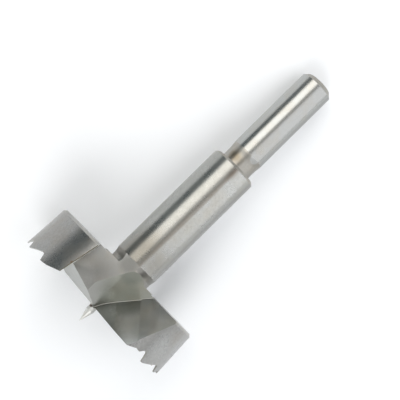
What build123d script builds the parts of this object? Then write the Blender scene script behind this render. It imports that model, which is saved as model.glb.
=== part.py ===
from build123d import *
import os
from math import cos, radians, sin, tan

# A saw-tooth forstner bit for 50 mm holes, turned, milled and ground from one bar of tool steel.
# All sizes are in millimetres and all angles in degrees.
# It is built in the tool's own frame: the axis is Z, the tooth tips lie at Z = 0, the centre point is above
# them and the shank hangs below. Depths are measured down from the tooth tips. Azimuths turn about Z from X,
# and the bit cuts towards growing azimuth, which is clockwise as seen from the shank.
# Last, it is laid down as it comes to rest on a table, with the shank along X and the table at Z = 0.

# Head
CUT_DIAMETER = 50.0
HEAD_DEPTH = 13.8
BACK_DIAMETER = 48.6
BACK_CHAMFER = 0.6

# Hub, a low step on the back of the head
HUB_DIAMETER = 18.2
HUB_RISE = 0.3
HUB_CHAMFER = 0.3

# Neck, with a turned relief where it leaves the hub
NECK_DIAMETER = 14.0
NECK_END_DEPTH = 54.8
NECK_CHAMFER = 0.7
RELIEF_DIAMETER = 13.3
RELIEF_LENGTH = 1.25
RELIEF_RUNOUT = 1.8

# Shank, with an undercut below the neck's shoulder
SHANK_DIAMETER = 10.0
OVERALL_DEPTH = 87.7
SHANK_CHAMFER = 1.2
UNDERCUT_DIAMETER = 9.5
UNDERCUT_LENGTH = 3.0
UNDERCUT_RUNOUT = 2.0

# Centre point
POINT_DIAMETER = 2.44
POINT_HEIGHT = 5.0
POINT_ANGLE = 33.4
POINT_ROOT_DEPTH = 3.0
POINT_FLAT_DEPTH = 0.3

# Lips: both lie on one line through the axis, and the relief falls away behind each
LIP_AZIMUTH = 59.7
LIP_DEPTH = 0.6
LIP_RAKE = 30.8
LIP_RELIEF = 20.0

# Rake face: a ground land beside the lip, then a shallow hollow
LAND_DEPTH_AT_WEB = 11.5
LAND_REACH_AT_WEB = 4.85
LAND_DEPTH_AT_RIM = 4.2
HOLLOW_DEPTH = 0.5
HOLLOW_RAMP_ANGLE = 30.0
HOLLOW_RETURN_ANGLE = 3.5

# Gullets: a milled floor, a ground floor beside the web, and a wall behind the heel of the other wing
FLOOR_OFFSET = 4.87
FLOOR_SKEW = 0.22
FLOOR_LEAN = 0.10
WEB_HALF = 0.35
ROOT_START = 2.6
ROOT_TURN = 12.1
ROOT_TURN_REACH = 4.1
ROOT_END = 18.3
ROOT_END_REACH = 8.2
ROOT_START_BLEND = 4.0
ROOT_TURN_BLEND = 15.0
WEB_FLOOR_DIRECTION = (-0.70, 0.61, -0.375)
WALL_OFFSET = 12.8
WALL_LEAN = 0.195
WALL_SKEW = 0.0157

# Toothed rim
RIM_WALL = 2.6
RIM_WALL_DEPTH = 4.4
TOOTH_EDGE = 0.35
TOOTH_ROOT = 0.75
TOOTH_ROOT_DEPTH = 2.4
TEETH = 5
FIRST_TOOTH_LAG = 18.4
TOOTH_PITCH = 21.05
TOOTH_LAND = 1.4
TOOTH_BACK = 16.0
TOOTH_FACE = 2.0
TOOTH_DEPTH = 1.9
GAP_FILLET = 0.4
SPUR_LAG = 8.1
SPUR_DEPTH = 1.85
SPUR_STEP_LAG = 11.4
SPUR_STEP_DEPTH = 1.75
SPUR_GAP_START = 14.1
SPUR_GAP_END = 17.1
SPUR_GAP_DEPTH = 2.83
SPUR_GAP_FILLET = 0.9
HEEL_LAG = 6.6
HEEL_START_DEPTH = 0.35
HEEL_DEPTH = 2.4
GAP_OVERLAP = 1.0

# Rounds of the search for the resting position, which settles in three
REST_STEPS = 8

# Room that cutting blocks need beyond the part
CLEAR = 2.0
SPAN = 4 * CUT_DIAMETER

radius = CUT_DIAMETER / 2
hub_depth = HEAD_DEPTH + HUB_RISE
neck_start_depth = hub_depth + RELIEF_LENGTH + RELIEF_RUNOUT
lip = Vector(cos(radians(LIP_AZIMUTH)), sin(radians(LIP_AZIMUTH)), 0)
ahead = Vector(-lip.Y, lip.X, 0)
up = Vector(0, 0, 1)


def in_front_of(point, normal):
    """Everything on the side of a plane that its normal points to."""
    plane = Plane(origin=point, z_dir=normal)
    return plane * Box(SPAN, SPAN, SPAN, align=(Align.CENTER, Align.CENTER, Align.MIN))


def both_wings(solid):
    """The same form on the opposite wing."""
    return solid + Rot(0, 0, 180) * solid


def turned_blank():
    """The bar as it leaves the lathe, from the flat face at the tooth tips to the chamfered shank end."""
    back = BACK_DIAMETER / 2
    hub = HUB_DIAMETER / 2
    relief = RELIEF_DIAMETER / 2
    neck = NECK_DIAMETER / 2
    undercut = UNDERCUT_DIAMETER / 2
    shank = SHANK_DIAMETER / 2
    undercut_end = NECK_END_DEPTH + UNDERCUT_LENGTH
    outline = Polyline(
        (0, 0),
        (radius, 0),
        (back, -HEAD_DEPTH + BACK_CHAMFER),
        (back - BACK_CHAMFER, -HEAD_DEPTH),
        (hub, -HEAD_DEPTH),
        (hub - HUB_CHAMFER, -hub_depth),
        (relief, -hub_depth),
        (relief, -hub_depth - RELIEF_LENGTH),
        (neck, -neck_start_depth),
        (neck, -NECK_END_DEPTH + NECK_CHAMFER),
        (neck - NECK_CHAMFER, -NECK_END_DEPTH),
        (undercut, -NECK_END_DEPTH),
        (undercut, -undercut_end),
        (shank, -undercut_end - UNDERCUT_RUNOUT),
        (shank, -OVERALL_DEPTH + SHANK_CHAMFER),
        (shank - SHANK_CHAMFER, -OVERALL_DEPTH),
        (0, -OVERALL_DEPTH),
        close=True,
    )
    return revolve(Plane.XZ * make_face(outline), Axis.Z)


def relief_pocket():
    """What the lip relief takes off inside the toothed rim: a roof-shaped space, its ridge along the lips."""
    fall = radius * tan(radians(LIP_RELIEF))
    roof = Polyline(
        (0, -LIP_DEPTH),
        (radius, -LIP_DEPTH - fall),
        (radius, CLEAR),
        (-radius, CLEAR),
        (-radius, -LIP_DEPTH - fall),
        close=True,
    )
    spur_width = 2 * radius * sin(radians(SPUR_LAG))
    across = Plane(origin=(0, 0, 0), x_dir=ahead, z_dir=lip)
    above_roof = extrude(across * make_face(roof), radius + CLEAR, both=True)
    beside_lips = across * Box(spur_width, SPAN, SPAN)
    floor = -LIP_DEPTH - fall - CLEAR
    inner = Polyline(
        (0, CLEAR),
        (radius - TOOTH_EDGE, CLEAR),
        (radius - TOOTH_EDGE, 0),
        (radius - TOOTH_ROOT, -TOOTH_ROOT_DEPTH),
        (radius - RIM_WALL, -RIM_WALL_DEPTH),
        (radius - RIM_WALL, floor),
        (0, floor),
        close=True,
    )
    return above_roof & (revolve(Plane.XZ * make_face(inner), Axis.Z) + beside_lips)


def corner_at(face, point):
    """The corner of a flat outline nearest to a point."""
    return face.vertices().sort_by_distance((*point, 0))[0]


def gap_cutter(profile, fillets):
    """A cutter through the rim wall. The profile gives (degrees behind the lip, depth) round the rim."""
    middle = (profile[0][0] + profile[-1][0]) / 2
    azimuth = LIP_AZIMUTH - middle
    points = [(-radius * sin(radians(lag - middle)), -depth) for lag, depth in profile]
    first, last = points[0][0], points[-1][0]
    face = make_face(Polyline(*points, (last, CLEAR), (first, CLEAR), close=True))
    for index, size in fillets.items():
        face = fillet(corner_at(face, points[index]), size)
    outward = Vector(cos(radians(azimuth)), sin(radians(azimuth)), 0)
    side = Vector(-outward.Y, outward.X, 0)
    half_span = radians(profile[-1][0] - middle)
    inside = (radius - RIM_WALL) * cos(half_span)
    plane = Plane(origin=outward * inside, x_dir=side, z_dir=side.cross(up))
    return extrude(plane * face, radius + CLEAR - inside)


def rim_gaps():
    """Every gap between the teeth of one wing, from the spur at the lip to the slope at the heel."""
    spur_gap = [
        (SPUR_LAG - GAP_OVERLAP, SPUR_DEPTH),
        (SPUR_STEP_LAG, SPUR_STEP_DEPTH),
        (SPUR_GAP_START, SPUR_GAP_DEPTH),
        (SPUR_GAP_END, SPUR_GAP_DEPTH),
        (FIRST_TOOTH_LAG, 0),
    ]
    gaps = gap_cutter(spur_gap, {2: SPUR_GAP_FILLET, 3: SPUR_GAP_FILLET})
    for number in range(TEETH - 1):
        tip = FIRST_TOOTH_LAG + number * TOOTH_PITCH
        gap = [
            (tip + TOOTH_LAND, 0),
            (tip + TOOTH_BACK, TOOTH_DEPTH),
            (tip + TOOTH_PITCH - TOOTH_FACE, TOOTH_DEPTH),
            (tip + TOOTH_PITCH, 0),
        ]
        gaps += gap_cutter(gap, {1: GAP_FILLET, 2: GAP_FILLET})
    last_tip = FIRST_TOOTH_LAG + (TEETH - 1) * TOOTH_PITCH
    heel = [
        (last_tip + TOOTH_LAND, 0),
        (last_tip + HEEL_LAG, HEEL_START_DEPTH),
        (last_tip + TOOTH_PITCH, HEEL_DEPTH),
    ]
    return gaps + gap_cutter(heel, {})


def rake_point(reach, depth):
    """A point on the ground rake face, by its reach along the lip and its depth."""
    return lip * reach - ahead * (depth - LIP_DEPTH) * tan(radians(LIP_RAKE)) - up * depth


def web_floor_space(rake_normal):
    """The space over the ground floor: the wheel's outline on the rake face, carried across the web."""
    across = Vector(*WEB_FLOOR_DIRECTION).normalized()
    face = Plane(origin=rake_point(0, LIP_DEPTH), x_dir=lip, z_dir=rake_normal)
    start = (WEB_HALF, ROOT_START)
    turn = (ROOT_TURN_REACH, ROOT_TURN)
    end = (ROOT_END_REACH, ROOT_END)
    root = make_face(Polyline((WEB_HALF, -SPAN), start, turn, end, (SPAN, ROOT_END), (SPAN, -SPAN), close=True))
    root = fillet(corner_at(root, start), ROOT_START_BLEND)
    root = fillet(corner_at(root, turn), ROOT_TURN_BLEND)
    outline = face * root
    return extrude(Pos(*(across * -CLEAR)) * outline, SPAN, dir=across)


def gullet():
    """The chip space ahead of one lip."""
    rake_normal = ahead * cos(radians(LIP_RAKE)) - up * sin(radians(LIP_RAKE))
    land_start = rake_point(LAND_REACH_AT_WEB, LAND_DEPTH_AT_WEB)
    land_end = rake_point(radius, LAND_DEPTH_AT_RIM)
    edge = Axis(land_start, land_end - land_start)
    ramp_normal = rake_normal.rotate(edge, HOLLOW_RAMP_ANGLE)
    hollow_normal = rake_normal.rotate(edge, -HOLLOW_RETURN_ANGLE)
    ahead_of_land = in_front_of(rake_point(0, LIP_DEPTH), rake_normal)
    beyond = rake_normal.cross(edge.direction).normalized()
    ramp_length = HOLLOW_DEPTH / tan(radians(HOLLOW_RAMP_ANGLE))
    hollow_point = land_start - rake_normal * HOLLOW_DEPTH + beyond * ramp_length
    hollow = in_front_of(land_start, ramp_normal) & in_front_of(hollow_point, hollow_normal)
    floor = in_front_of((0, FLOOR_OFFSET, 0), (-FLOOR_SKEW, 1, FLOOR_LEAN))
    web_floor = web_floor_space(rake_normal)
    wall = in_front_of((-WALL_OFFSET, radius, 0), (1, -WALL_SKEW, WALL_LEAN))
    above_neck = in_front_of((0, 0, -neck_start_depth), up)
    space = (ahead_of_land + hollow) & (floor + web_floor)
    return space & wall & above_neck


def centre_point():
    """The brad point, a cone on a short round stem."""
    stem = POINT_DIAMETER / 2
    shoulder = POINT_HEIGHT - stem / tan(radians(POINT_ANGLE / 2))
    outline = Polyline(
        (0, -POINT_ROOT_DEPTH),
        (stem, -POINT_ROOT_DEPTH),
        (stem, shoulder),
        (0, POINT_HEIGHT),
        close=True,
    )
    return revolve(Plane.XZ * make_face(outline), Axis.Z)


def forstner_bit():
    gullets = both_wings(gullet())
    head = turned_blank() - relief_pocket() - both_wings(rim_gaps()) - gullets
    flats = gullets & in_front_of((0, 0, -POINT_FLAT_DEPTH), -up)
    return head + (centre_point() - flats)


def upward_at_rest(bit):
    """The bit's upward direction on a table, where it rests on its shank end and on a head corner to each side."""
    corners = [vertex.center() for vertex in bit.vertices() if vertex.Z > -hub_depth]
    shank_end = up * (SHANK_CHAMFER - OVERALL_DEPTH)
    upward = Vector(0, 1, 0)
    for _ in range(REST_STEPS):
        level = upward.cross(up).normalized()
        below = level.cross(up)
        heel = shank_end + below * (SHANK_DIAMETER / 2)
        right = min([corner for corner in corners if corner.dot(level) > 0], key=upward.dot)
        left = min([corner for corner in corners if corner.dot(level) < 0], key=upward.dot)
        upward = (left - heel).cross(right - heel).normalized()
    return upward


def laid_down(bit):
    """The bit at rest, centred over the origin with the shank towards +X."""
    upward = upward_at_rest(bit)
    along = upward.cross(upward.cross(up))
    at_rest = Plane(origin=(0, 0, 0), x_dir=along, z_dir=upward).to_local_coords(bit)
    box = at_rest.bounding_box()
    return Pos(-box.center().X, -box.center().Y, -box.min.Z) * at_rest


bit = laid_down(forstner_bit())
os.makedirs("parts", exist_ok=True)
export_step(bit, "parts/forstner_bit.step")
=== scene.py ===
import math

import bpy
from mathutils import Euler, Matrix, Vector


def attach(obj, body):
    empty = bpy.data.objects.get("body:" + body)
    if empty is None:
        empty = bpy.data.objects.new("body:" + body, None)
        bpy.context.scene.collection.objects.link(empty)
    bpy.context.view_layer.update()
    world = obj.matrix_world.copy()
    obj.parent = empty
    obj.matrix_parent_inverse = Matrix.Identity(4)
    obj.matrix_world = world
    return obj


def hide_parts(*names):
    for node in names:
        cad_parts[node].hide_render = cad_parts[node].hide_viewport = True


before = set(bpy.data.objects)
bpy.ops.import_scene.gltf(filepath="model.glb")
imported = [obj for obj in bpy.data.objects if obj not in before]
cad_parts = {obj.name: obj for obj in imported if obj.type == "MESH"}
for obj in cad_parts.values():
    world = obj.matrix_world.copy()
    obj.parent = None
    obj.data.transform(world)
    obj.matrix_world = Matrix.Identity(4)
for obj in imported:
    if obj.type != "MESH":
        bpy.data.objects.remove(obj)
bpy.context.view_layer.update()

# A worn saw-tooth forstner bit lying on a pale table. Lengths are in metres in the row frame, unless a name says mm.
# The bit's own axes, as it was turned: Z runs up to the centre point from 0 at the tooth tips, so the shank is at
# negative Z, and Y faces the camera. Patterns and places on the steel are given there, in millimetres.
MM = 0.001
BIT_PLACE = Vector((-40.8605, 0, 22.6367)) * MM
BIT_TURN = Euler([math.radians(a) for a in (78.04845, -7.895495, -88.334491)])
BIT = BIT_TURN.to_matrix()

# Sizes along and across the bit, in millimetres
NECK_TOP = 14.1
GROOVE_END = 17.15
NECK_END = 54.8
SHANK_START = 59.8
UNDERCUT_LAP = 0.2
CHAMFER = 1.3
RIM_RADIUS = 24.0
TEETH_RADIUS = 22.0
POINT_RADIUS = 1.3
POINT_FOOT = 1.0
TIP_RADIUS = 0.05
ROOT_ROUND = 0.12
HEEL_BREAK = 0.2

# The patterns of wear, each as its number of spots in a millimetre: handling in patches some 5 mm wide, tarnish in
# spots about 0.7 mm wide, and rust in specks about 0.3 mm wide
HANDLING_PER_MM = 0.2
TARNISH_PER_MM = 1.4
RUST_PER_MM = 3.0
TARNISH = "#5E5D59"
RUST = "#6F5440"
HANDLING_DULLS = 0.03
RUST_DULLS = 0.3

# Sockets of a mix of two colours
FACTOR, UNDER, OVER, MIXED = 0, 6, 7, 2


def linear(hex_colour):
    """The linear colour of an sRGB hex value."""
    channels = [int(hex_colour[i:i + 2], 16) / 255 for i in (1, 3, 5)]
    return tuple(c / 12.92 if c <= 0.04045 else ((c + 0.055) / 1.055) ** 2.4 for c in channels) + (1.0,)


def warmer(hex_colour):
    """The colour a little browner, as handled steel turns."""
    red, green, blue = (int(hex_colour[i:i + 2], 16) for i in (1, 3, 5))
    return "#%02X%02X%02X" % (red, int(green * 0.985), int(blue * 0.965))


def add_node(tree, kind, settings, links):
    """Adds a shader node. Settings name its attributes or inputs, and links give an input its source socket."""
    node = tree.nodes.new("ShaderNode" + kind)
    for name, value in settings.items():
        if isinstance(name, str) and hasattr(node, name):
            setattr(node, name, value)
        else:
            node.inputs[name].default_value = value
    for name, source in links.items():
        tree.links.new(source, node.inputs[name])
    return node


def on_bit(tree):
    """Object coordinates turned to the bit's own axes, in millimetres."""
    place = add_node(tree, "TexCoord", {}, {})
    turned = add_node(tree, "Mapping", {
        "vector_type": "TEXTURE", "Location": BIT_PLACE, "Rotation": BIT_TURN, "Scale": (MM, MM, MM),
    }, {"Vector": place.outputs["Object"]})
    return turned.outputs["Vector"]


def laid_over(tree, under, colour, cover):
    """One colour laid over what is under it, as far as the cover says."""
    mix = add_node(tree, "Mix", {"data_type": "RGBA", OVER: linear(colour)}, {FACTOR: cover, UNDER: under})
    return mix.outputs[MIXED]


def patched(tree, under, where, tarnish, place, reach, colour, strength, soft):
    """A patch of another tone. It is round about its place, and goes as far as its reach each way, both in
    millimetres. Its edge is ragged with the tarnish, and soft by a share of the reach."""
    near = add_node(tree, "Mapping", {
        "vector_type": "TEXTURE", "Location": place, "Scale": reach,
    }, {"Vector": where})
    away = add_node(tree, "VectorMath", {"operation": "LENGTH"}, {0: near.outputs["Vector"]})
    ragged = add_node(tree, "Math", {
        "operation": "MULTIPLY_ADD", 1: soft,
    }, {0: tarnish, 2: away.outputs["Value"]})
    cover = add_node(tree, "MapRange", {
        "interpolation_type": "SMOOTHSTEP",
        "From Min": 1 + 1.5 * soft, "From Max": 1 - 0.5 * soft, "To Max": strength,
    }, {"Value": ragged.outputs["Value"]})
    return laid_over(tree, under, colour, cover.outputs["Result"])


def steel(name, colour, rough, mark_mm, mark_ways, mark_depth, mottle, specks, patches=()):
    """Bare tool steel. The tool's marks are mark_mm wide and mark_depth deep, and a small number in mark_ways draws
    them out that way. mottle is how strong its tarnish is, and specks how much of it has rust specks."""
    material = bpy.data.materials.new(name)
    material.use_nodes = True
    tree = material.node_tree
    shader = tree.nodes["Principled BSDF"]
    shader.inputs["Metallic"].default_value = 1.0
    where = on_bit(tree)

    # Marks: real ones are about 0.05 mm apart, too fine to show here, so they are drawn as coarse as they need to be
    squeezed = add_node(tree, "VectorMath", {
        "operation": "MULTIPLY", 1: [way / mark_mm for way in mark_ways],
    }, {0: where})
    marks = add_node(tree, "TexNoise", {
        "Scale": 1.0, "Detail": 2.0, "Roughness": 0.5,
    }, {"Vector": squeezed.outputs["Vector"]})
    bump = add_node(tree, "Bump", {
        "Strength": 1.0, "Distance": mark_depth * MM,
    }, {"Height": marks.outputs["Fac"]})
    tree.links.new(bump.outputs["Normal"], shader.inputs["Normal"])

    # Handling leaves the steel a little warmer and duller
    handling = add_node(tree, "TexNoise", {
        "Scale": HANDLING_PER_MM, "Detail": 4.0, "Roughness": 0.6,
    }, {"Vector": where})
    handled = add_node(tree, "MapRange", {
        "From Min": 0.42, "From Max": 0.68,
    }, {"Value": handling.outputs["Fac"]})

    tarnish = add_node(tree, "TexNoise", {
        "Scale": TARNISH_PER_MM, "Detail": 3.0, "Roughness": 0.65,
    }, {"Vector": where})
    tarnished = add_node(tree, "MapRange", {
        "From Min": 0.35, "From Max": 0.75, "To Max": mottle,
    }, {"Value": tarnish.outputs["Fac"]})

    # Rust comes thickest where the steel was handled
    rust = add_node(tree, "TexNoise", {
        "Scale": RUST_PER_MM, "Detail": 2.0, "Roughness": 0.6,
    }, {"Vector": where})
    thick = add_node(tree, "Math", {
        "operation": "MULTIPLY_ADD", 1: 0.06,
    }, {0: handled.outputs["Result"], 2: rust.outputs["Fac"]})
    rusted = add_node(tree, "MapRange", {
        "From Min": 0.9 - 0.48 * specks, "From Max": 1.08 - 0.48 * specks, "To Max": 0.6,
    }, {"Value": thick.outputs["Value"]})

    tint = add_node(tree, "Mix", {
        "data_type": "RGBA", UNDER: linear(colour), OVER: linear(warmer(colour)),
    }, {FACTOR: handled.outputs["Result"]})
    tone = tint.outputs[MIXED]
    for patch in patches:
        tone = patched(tree, tone, where, tarnish.outputs["Fac"], *patch)
    tone = laid_over(tree, tone, TARNISH, tarnished.outputs["Result"])
    tone = laid_over(tree, tone, RUST, rusted.outputs["Result"])
    tree.links.new(tone, shader.inputs["Base Color"])

    worn = add_node(tree, "Math", {
        "operation": "MULTIPLY_ADD", 1: HANDLING_DULLS, 2: rough,
    }, {0: handled.outputs["Result"]})
    speckled = add_node(tree, "Math", {
        "operation": "MULTIPLY_ADD", 1: RUST_DULLS, "use_clamp": True,
    }, {0: rusted.outputs["Result"], 2: worn.outputs["Value"]})
    tree.links.new(speckled.outputs["Value"], shader.inputs["Roughness"])
    return material


# Each patch below is its place, its reach, its colour, its strength and how soft its edge is.
# Ground shank, polished by the chuck: a faint grain only, so the bands of light stay long and clean
SHANK_STEEL = steel(
    "ground tool steel shank", "#ADAEAC", rough=0.25, mark_mm=0.25, mark_ways=(0.3, 0.3, 1), mark_depth=0.0008,
    mottle=0.05, specks=0.0, patches=[
        # Painted shade, a darker strip down one side of the shank
        ((5.3, 0, -74), (1.1, 60, 60), "#848583", 0.75, 0.4),
    ])

# Turned neck: its grain breaks the light into a sparkle, and it is mottled with tarnish and fine rust, browner along
# one side and near the head. Several of its patches are painted shade, each marked below.
NECK_STEEL = steel(
    "turned tool steel neck", "#B8B9B6", rough=0.27, mark_mm=0.30, mark_ways=(0.5, 0.5, 1), mark_depth=0.0045,
    mottle=0.20, specks=0.5, patches=[
        # Partly brown tarnish and partly painted shade, for a dark line through the band of light
        ((0.8, 8, -36), (0.7, 5, 24), "#857B6E", 0.55, 0.4),
        ((0.5, 8, -52.6), (1.1, 5, 2.2), "#75675A", 0.6, 0.9),
        # Painted shade, darkening the left side
        ((-5.2, 6, -36), (3.0, 8, 30), "#A0A19D", 0.85, 0.35),
        # Painted shade, dimming the band of light
        ((-1.4, 8, -36), (1.5, 5, 40), "#A7A6A1", 0.9, 0.5),
        ((-1.2, 8, -21), (1.6, 5, 5), "#89806F", 0.45, 1.0),
        ((3.4, 6, -20.5), (2.0, 5, 3.5), "#7E766B", 0.35, 1.0),
        # Partly painted shade, dimming the band of light near the head, and partly brown tarnish
        ((-3.4, 6, -18), (3.2, 5, 9), "#86827A", 0.7, 0.5),
        # Painted shade, a darker strip down the right side
        ((7.4, 0, -36), (1.7, 60, 60), "#80807D", 0.75, 0.4),
    ])

# Groove under the hub, rough-turned, so it is duller and darker than the neck
GROOVE_STEEL = steel(
    "rough-turned tool steel groove", "#A09F9B", rough=0.36, mark_mm=0.30, mark_ways=(0.05, 0.05, 1),
    mark_depth=0.001, mottle=0.2, specks=0.2, patches=[
        ((-4.7, 4.8, -15.6), (1.0, 2, 0.8), "#6A6963", 0.5, 0.6),
        # Painted shade, dulling a bright facet by the hub
        ((2.6, 6.2, -16.5), (2.2, 2, 1.1), "#777673", 0.9, 0.4),
    ])

# Undercut below the neck's shoulder, turned and left to tarnish yellow in ragged spots, but bright in one place
# where the shank's polish runs over into it
UNDERCUT_STEEL = steel(
    "turned tool steel undercut", "#A7A59F", rough=0.31, mark_mm=0.30, mark_ways=(0.5, 0.5, 1), mark_depth=0.005,
    mottle=0.2, specks=0.5, patches=[
        ((-1.9, 4.6, -56.6), (1.7, 3, 1.5), "#8A7C65", 0.7, 0.8),
        ((-3.2, 4.6, -56.6), (0.7, 2, 0.9), "#5F5444", 0.5, 0.8),
        ((2.3, 4.4, -59.7), (1.3, 3, 1.5), "#B8B9B7", 1.0, 0.12),
        # Painted shade, a darker strip down one side
        ((5.0, 0, -57), (1.0, 60, 60), "#84827C", 0.6, 0.4),
    ])

# Chamfers at the neck's shoulder and the shank's end, duller and darker than the steel beside them, so they show as
# darker rings
CHAMFER_STEEL = steel(
    "worn tool steel chamfer", "#9E9C95", rough=0.36, mark_mm=0.30, mark_ways=(0.05, 0.05, 1), mark_depth=0.0004,
    mottle=0.15, specks=0.3)

# Rim, ground round, so it shows one soft band, and then rusted in fine specks, with one larger spot by the lip
RIM_STEEL = steel(
    "ground tool steel rim", "#979795", rough=0.27, mark_mm=0.35, mark_ways=(0.6, 0.6, 1), mark_depth=0.0012,
    mottle=0.28, specks=0.52, patches=[
        # Painted light, the right wing lighter
        ((18, 16, -4), (5, 6, 6), "#A9A9A7", 0.9, 0.5),
        ((-12.06, 21.57, -5.54), (0.35, 0.5, 0.35), "#7A5A3C", 0.7, 0.4),
        # Painted shade, a darker strip down the right side
        ((25.6, 0, -7), (2.6, 60, 60), "#868684", 0.6, 0.4),
    ])

# Gullet floor, milled, so it is dull, with painted light beside the heel and painted shade along the wall and by the
# hub
FLOOR_STEEL = steel(
    "milled tool steel gullet floor", "#ADADAB", rough=0.36, mark_mm=0.35, mark_ways=(1, 0.3, 0.15),
    mark_depth=0.0004, mottle=0.06, specks=0.1, patches=[
        ((-8.6, 3.6, -5.4), (3, 4, 2.6), "#C8C8C5", 0.8, 0.6),
        ((-13.0, 3, -9.6), (2.6, 5, 5.5), "#7C7C79", 0.8, 0.7),
        ((-1.5, 6, -15.4), (2.6, 3, 2.2), "#91918E", 0.9, 0.5),
    ])

# Wall behind the heel, milled and dull, and pale in what the floor mirrors of it
WALL_STEEL = steel(
    "milled tool steel heel wall", "#C8C8C6", rough=0.45, mark_mm=0.35, mark_ways=(0.2, 1, 0.3), mark_depth=0.0004,
    mottle=0.06, specks=0.1)

# Web floor, ground, so smoother than the milled floor. Its patches are painted reflection: paler on one side of a
# crisp line beside the point, painted shade by the hub, and a painted highlight near the point.
WEB_STEEL = steel(
    "ground tool steel web", "#9D9E9B", rough=0.30, mark_mm=0.35, mark_ways=(0.3, 1, 0.3), mark_depth=0.0003,
    mottle=0.03, specks=0.0, patches=[
        ((-20.2, 3.4, -5), (20, 60, 60), "#B0B1AE", 1.0, 0.02),
        ((1.5, 5.6, -13.8), (3, 2.6, 3.2), "#828582", 0.9, 0.5),
        ((0.3, 1.6, -4.6), (1.6, 2.0, 2.4), "#C8CAC7", 0.9, 0.8),
    ])

# Land of the rake face behind each lip, ground along the lip, so it shines softly, with painted shade in one broad
# patch and darkest along the lip, for the dark steel it mirrors
RAKE_STEEL = steel(
    "ground tool steel rake face", "#AFB1AE", rough=0.22, mark_mm=0.35, mark_ways=(0.4, 0.2, 1), mark_depth=0.0003,
    mottle=0.03, specks=0.0, patches=[
        ((3, 4, -4), (5, 8, 9), "#A7AAA3", 0.9, 0.4),
        ((8, -4, 16.5), (60, 38, 21), "#6E706B", 1.0, 0.1),
    ])

# Hollow of the rake face, ground too, with painted shade at the root and along the lip, for the dark steel it
# mirrors
HOLLOW_STEEL = steel(
    "ground tool steel hollow", "#C2C4C1", rough=0.24, mark_mm=0.35, mark_ways=(0.4, 0.2, 1), mark_depth=0.0003,
    mottle=0.03, specks=0.0, patches=[
        ((5, 3.5, -9), (5, 6, 6), "#8D9089", 0.9, 0.5),
        ((8, -4, 16.5), (60, 38, 21), "#707269", 1.0, 0.1),
    ])

# Lip relief, the freshest grinding, so it shines most
RELIEF_STEEL = steel(
    "ground tool steel lip relief", "#A4A7A2", rough=0.28, mark_mm=0.35, mark_ways=(1, 0.3, 0.2),
    mark_depth=0.0001, mottle=0.05, specks=0.0)

# Centre point, ground bright, with a dark nick at its foot
POINT_STEEL = steel(
    "ground tool steel centre point", "#D6D7D4", rough=0.5, mark_mm=0.20, mark_ways=(0.2, 0.2, 1),
    mark_depth=0.0002, mottle=0.05, specks=0.0, patches=[
        ((-0.68, 0.95, -0.32), (0.45, 0.6, 0.35), "#4E3528", 0.9, 0.4),
    ])

# Back of the head, the hub and the inside of the teeth, turned, so the light lies round them in soft rings
BACK_STEEL = steel(
    "turned tool steel head", "#A0A09C", rough=0.30, mark_mm=0.30, mark_ways=(1, 1, 0.1), mark_depth=0.0006,
    mottle=0.15, specks=0.3)

# Small round along the root, polished by the wheel's corner, so it shows as a thin bright line
ROOT_STEEL = steel(
    "polished tool steel root", "#7E7F7C", rough=0.30, mark_mm=0.35, mark_ways=(1, 1, 1), mark_depth=0.0002,
    mottle=0.05, specks=0.0)

# Heel edge, where the grinding heat has left a straw colour, made darker as painted shade for the shadow under the
# edge
HEEL_STEEL = steel(
    "straw-tinted tool steel heel", "#625D44", rough=0.35, mark_mm=0.35, mark_ways=(1, 1, 1), mark_depth=0.0004,
    mottle=0.3, specks=0.3)

TURNED_STEELS = [SHANK_STEEL, NECK_STEEL, GROOVE_STEEL, UNDERCUT_STEEL, CHAMFER_STEEL, RIM_STEEL, POINT_STEEL]
FLAT_STEELS = [FLOOR_STEEL, WALL_STEEL, WEB_STEEL, RAKE_STEEL, HOLLOW_STEEL, RELIEF_STEEL, ROOT_STEEL]
STEELS = TURNED_STEELS + FLAT_STEELS + [BACK_STEEL, HEEL_STEEL]


def directions(*values):
    return [Vector(v).normalized() for v in values]


# Directions of the ground faces on one wing, on the bit's axes. A small ramp leads from the rake face's land down
# into its hollow, and the web floor curves through several directions.
LAND_WAYS = directions((-0.742, 0.433, -0.512))
HOLLOW_WAYS = directions((-0.70, 0.44, -0.56))
RAMP_WAYS = directions((-0.94, 0.33, -0.05))
FLOOR_WAYS = directions((-0.214, 0.972, 0.097))
WALL_WAYS = directions((1, -0.0157, 0.195))
WEB_WAYS = directions((0.46, 0.78, 0.42), (0.63, 0.77, 0.09), (0.55, 0.78, 0.27))
ROOT_WAYS = directions((-0.15, 0.97, -0.2))
WEB_END_WAYS = directions((0.34, 0.74, 0.58), (0.41, 0.77, 0.49))

# How nearly a face has to point one of these ways, as the cosine of the angle between them
SAME_GRINDING = 0.999
SAME_MILLING = 0.995
SAME_RAMP = 0.992
SAME_CURVE = 0.985
SAME_CURVE_END = 0.98
# The same for a face that looks straight out from the bit, and one that looks up it
STRAIGHT_OUT = 0.9
MOSTLY_OUT = 0.5
LOOKS_UP = 0.85
# How far down the bit a chamfer looks, at least and at most
CHAMFER_DOWN = (-0.9, -0.3)


def on_wing(way, normal):
    """This direction on the wing where a face lies."""
    other_wing = Vector((-way.x, -way.y, way.z))
    return max((way, other_wing), key=normal.dot)


def faces_one_of(normal, ways, nearly):
    """Whether a face points in one of these ways, on either wing."""
    return any(on_wing(way, normal).dot(normal) > nearly for way in ways)


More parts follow.
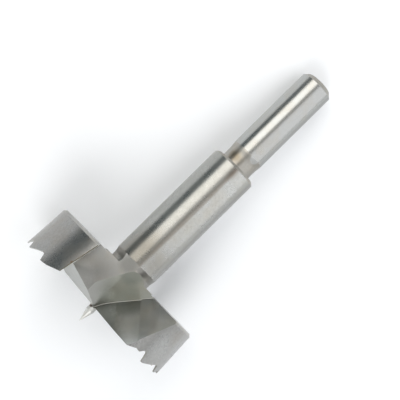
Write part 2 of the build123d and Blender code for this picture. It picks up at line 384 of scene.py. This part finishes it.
def steel_for(centre, normal):
    """The finish of a face of the bit, from its middle in millimetres and its direction on the bit's axes."""
    reach = math.hypot(centre.x, centre.y)
    if centre.z < -NECK_END + CHAMFER and CHAMFER_DOWN[0] < normal.z < CHAMFER_DOWN[1]:
        return CHAMFER_STEEL
    if centre.z < -SHANK_START + UNDERCUT_LAP:
        return SHANK_STEEL
    if centre.z < -NECK_END:
        return UNDERCUT_STEEL
    if faces_one_of(normal, WEB_END_WAYS, SAME_CURVE_END):
        return WEB_STEEL
    if centre.z < -GROOVE_END:
        return NECK_STEEL
    if centre.z < -NECK_TOP:
        return GROOVE_STEEL
    if reach > RIM_RADIUS and (normal.x * centre.x + normal.y * centre.y) / reach > STRAIGHT_OUT:
        return RIM_STEEL
    if reach < POINT_RADIUS and centre.z > -POINT_FOOT:
        return POINT_STEEL
    if faces_one_of(normal, LAND_WAYS + RAMP_WAYS, SAME_GRINDING):
        return RAKE_STEEL
    if faces_one_of(normal, HOLLOW_WAYS, SAME_GRINDING):
        return HOLLOW_STEEL
    if reach > TEETH_RADIUS:
        return BACK_STEEL if normal.z < LOOKS_UP else RELIEF_STEEL
    if faces_one_of(normal, WALL_WAYS, SAME_MILLING):
        return WALL_STEEL
    if faces_one_of(normal, FLOOR_WAYS, SAME_MILLING):
        return FLOOR_STEEL
    if faces_one_of(normal, WEB_WAYS, SAME_CURVE):
        return WEB_STEEL
    if normal.z > LOOKS_UP:
        return RELIEF_STEEL
    return BACK_STEEL


def finish_faces(mesh):
    """Gives each face of the bit its finish."""
    turn_back = BIT.transposed()
    for face in mesh.polygons:
        centre = turn_back @ (face.center - BIT_PLACE) / MM
        face.material_index = STEELS.index(steel_for(centre, turn_back @ face.normal))


def break_edges(bit, first, second, width_mm, finish):
    """Breaks the edges where one of the first finishes meets the second."""
    mesh = bit.data
    sides = {}
    for face in mesh.polygons:
        face.select = False
        for key in face.edge_keys:
            sides.setdefault(key, []).append(STEELS[face.material_index])
    for vertex in mesh.vertices:
        vertex.select = False
    for edge in mesh.edges:
        edge.select = set(sides.get(edge.key, [])) in [{one, second} for one in first]
    bpy.ops.object.mode_set(mode="EDIT")
    bpy.ops.mesh.select_mode(type="EDGE")
    bpy.ops.mesh.bevel(
        offset=width_mm * MM, segments=1, affect="EDGES", clamp_overlap=True, material=STEELS.index(finish))
    bpy.ops.object.mode_set(mode="OBJECT")


def ground_flat(finish, normal):
    """The direction that a ground or milled face is shaded with, on the bit's axes. The web floor and the small
    round at its root are each shaded as one plane, and the small ramp as part of the land."""
    if finish is WEB_STEEL:
        return on_wing(WEB_WAYS[0], normal)
    if finish is ROOT_STEEL:
        return on_wing(ROOT_WAYS[0], normal)
    if faces_one_of(normal, RAMP_WAYS, SAME_RAMP):
        return on_wing(LAND_WAYS[0], normal)
    return normal


def lay_normals(bit):
    """Turned faces get the directions of the true round that their flats stand for, and ground faces stay flat."""
    mesh = bit.data
    turn_back = BIT.transposed()
    # The rim is ground away a little behind its teeth, so it faces a few degrees further round
    rim_relief = Matrix.Rotation(math.radians(-4), 3, "Z")
    ways = [Vector(corner.vector) for corner in mesh.corner_normals]
    for face in mesh.polygons:
        finish = STEELS[face.material_index]
        normal = turn_back @ face.normal
        if finish in FLAT_STEELS:
            for corner in face.loop_indices:
                ways[corner] = BIT @ ground_flat(finish, normal)
        centre = turn_back @ (face.center - BIT_PLACE)
        outward = Vector((centre.x, centre.y, 0)).normalized().dot(normal)
        turned_outside = finish in TURNED_STEELS and outward > MOSTLY_OUT
        turned_inside = finish is BACK_STEEL and outward < -MOSTLY_OUT
        if not (turned_outside or turned_inside):
            continue
        for corner in face.loop_indices:
            vertex = mesh.vertices[mesh.loops[corner].vertex_index]
            place = turn_back @ (vertex.co - BIT_PLACE)
            if math.hypot(place.x, place.y) < TIP_RADIUS * MM:
                place = centre
            rise = normal.z
            if finish is UNDERCUT_STEEL:
                # The undercut flares softly into the shank
                rise = max(0, (turn_back @ vertex.normal).z)
            round_way = Vector((place.x, place.y, 0)).normalized()
            round_way *= math.copysign(math.sqrt(1 - rise ** 2), outward)
            if finish is RIM_STEEL:
                round_way = rim_relief @ round_way
            ways[corner] = BIT @ (round_way + Vector((0, 0, rise)))
    mesh.normals_split_custom_set(ways)


def dressed_bit():
    """The bit with its ground root rounded, and each face in its own finish."""
    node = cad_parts["forstner_bit"]
    bit = bpy.data.objects.new("ground_bit", node.data.copy())
    bpy.context.scene.collection.objects.link(bit)
    bit.data.materials.clear()
    for material in STEELS:
        bit.data.materials.append(material)
    bpy.ops.object.select_all(action="DESELECT")
    bit.select_set(True)
    bpy.context.view_layer.objects.active = bit
    bpy.ops.object.mode_set(mode="EDIT")
    bpy.ops.mesh.select_all(action="SELECT")
    bpy.ops.mesh.remove_doubles(threshold=2e-6)
    bpy.ops.mesh.dissolve_limited(angle_limit=math.radians(0.3))
    bpy.ops.object.mode_set(mode="OBJECT")
    finish_faces(bit.data)
    # The wheel's corner leaves a small round where the rake face meets the web
    break_edges(bit, [RAKE_STEEL, HOLLOW_STEEL], WEB_STEEL, ROOT_ROUND, ROOT_STEEL)
    # The heel's edge is broken by hand
    break_edges(bit, [RIM_STEEL], WALL_STEEL, HEEL_BREAK, HEEL_STEEL)
    bpy.ops.object.shade_smooth_by_angle(angle=math.radians(14))
    bit.modifiers.new("flat faces stay flat", "WEIGHTED_NORMAL").keep_sharp = True
    bpy.ops.object.modifier_apply(modifier="flat faces stay flat")
    lay_normals(bit)
    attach(bit, "root")
    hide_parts("forstner_bit")
    return bit


dressed_bit()


def table():
    """A white laminate table top, matt, so that it throws a plain soft light back up."""
    bpy.ops.mesh.primitive_plane_add(size=6, location=(0, 0, 0))
    top = bpy.context.object
    top.name = "table"
    laminate = bpy.data.materials.new("matt white laminate")
    laminate.use_nodes = True
    shader = laminate.node_tree.nodes["Principled BSDF"]
    shader.inputs["Base Color"].default_value = linear("#F9FBFE")
    shader.inputs["Roughness"].default_value = 0.7
    top.data.materials.append(laminate)


table()

# Two long softboxes lie beside the bit, their long sides along it, so that the round parts show long bands. Two more
# stand off its head: a wide one lights the table, the point and the lip relief, and a small one the heel side.
# Their place is an angle round the bit from straight towards the camera, and a shift along it from its middle.
LIGHT_REACH = 0.7
BIT_MIDDLE = Vector((0, 0, -41.6))


def softbox(name, first, last, low, high, brightness, colour):
    """A softbox that fills the angles from first to last round the bit, from low to high along it, in metres."""
    middle = math.radians((first + last) / 2)
    half = math.radians((last - first) / 2)
    outward = Vector((math.sin(middle), math.cos(middle), 0))
    across = Vector((math.cos(middle), -math.sin(middle), 0))
    along = Vector((0, 0, 1))
    width = 2 * LIGHT_REACH * math.tan(half)
    length = high - low
    data = bpy.data.lights.new(name, "AREA")
    data.shape = "RECTANGLE"
    data.size = width
    data.size_y = length
    data.color = linear(colour)[:3]
    # Power in watts, so that the face of the softbox is this bright, whatever its size
    data.energy = brightness * math.pi * width * length
    light = bpy.data.objects.new(name, data)
    bpy.context.scene.collection.objects.link(light)
    spot = outward * LIGHT_REACH + Vector((0, 0, (low + high) / 2)) + BIT_MIDDLE * MM
    turn = Matrix((across, along, across.cross(along))).transposed()
    # A light shines down its own Z, so its back looks outward
    if (turn @ along).dot(outward) < 0:
        turn = Matrix((-across, along, (-across).cross(along))).transposed()
    light.matrix_world = Matrix.Translation(BIT @ spot + BIT_PLACE) @ (BIT @ turn).to_4x4()
    light.visible_camera = False


softbox("main softbox", -48, -8, -0.9, 0.06, 2.1, "#FFFDF9")
softbox("left end softbox", -80, -42, 0.1, 0.7, 1.0, "#FFFFFF")
softbox("side softbox", 13, 92, -0.9, 0.03, 1.0, "#FAFBFF")
softbox("end softbox", 10, 58, 0.28, 1.3, 2.6, "#FFFFFF")


def surroundings():
    """A plain grey studio, darker low down on the side away from the side softbox."""
    world = bpy.data.worlds.new("studio")
    world.use_nodes = True
    bpy.context.scene.world = world
    tree = world.node_tree
    way = add_node(tree, "TexCoord", {}, {})
    dark_side = BIT @ Vector((-0.91, 0.42, 0))
    towards = add_node(tree, "VectorMath", {
        "operation": "DOT_PRODUCT", 1: dark_side,
    }, {0: way.outputs["Generated"]})
    shade = add_node(tree, "ValToRGB", {}, {"Fac": towards.outputs["Value"]})
    stops = [(0.93, "#B4B4B2"), (0.985, "#3F5359")]
    for element, (place, colour) in zip(shade.color_ramp.elements, stops):
        element.position = place
        element.color = linear(colour)
    tree.links.new(shade.outputs["Color"], tree.nodes["Background"].inputs["Color"])


surroundings()

# The camera's distance in metres, its tilt over the head in degrees, and the point on the bit that it looks at
CAMERA_DISTANCE = 0.350
CAMERA_TILT = 4
LOOKS_AT = (-0.3, 0, -41.6)


def camera():
    """Looks down on the bit as the photograph does, the shank to the upper right."""
    data = bpy.data.cameras.new("camera")
    data.lens = 114.9
    data.clip_start = 0.01
    data.clip_end = 20
    seen_from = bpy.data.objects.new("camera", data)
    bpy.context.scene.collection.objects.link(seen_from)
    tilt = math.radians(CAMERA_TILT)
    back = Vector((0, math.cos(tilt), math.sin(tilt)))
    down_bit = Vector((0, math.sin(tilt), -math.cos(tilt)))
    # The bit lies across the picture at about 45 degrees
    right = (Vector((0.702, 0, 0)) + down_bit * 0.712).normalized()
    up = back.cross(right)
    spot = BIT @ (Vector(LOOKS_AT) * MM) + BIT_PLACE + BIT @ back * CAMERA_DISTANCE
    turn = BIT @ Matrix((right, up, back)).transposed()
    seen_from.matrix_world = Matrix.Translation(spot) @ turn.to_4x4()
    bpy.context.scene.camera = seen_from


camera()
bpy.context.scene.view_settings.view_transform = "Standard"
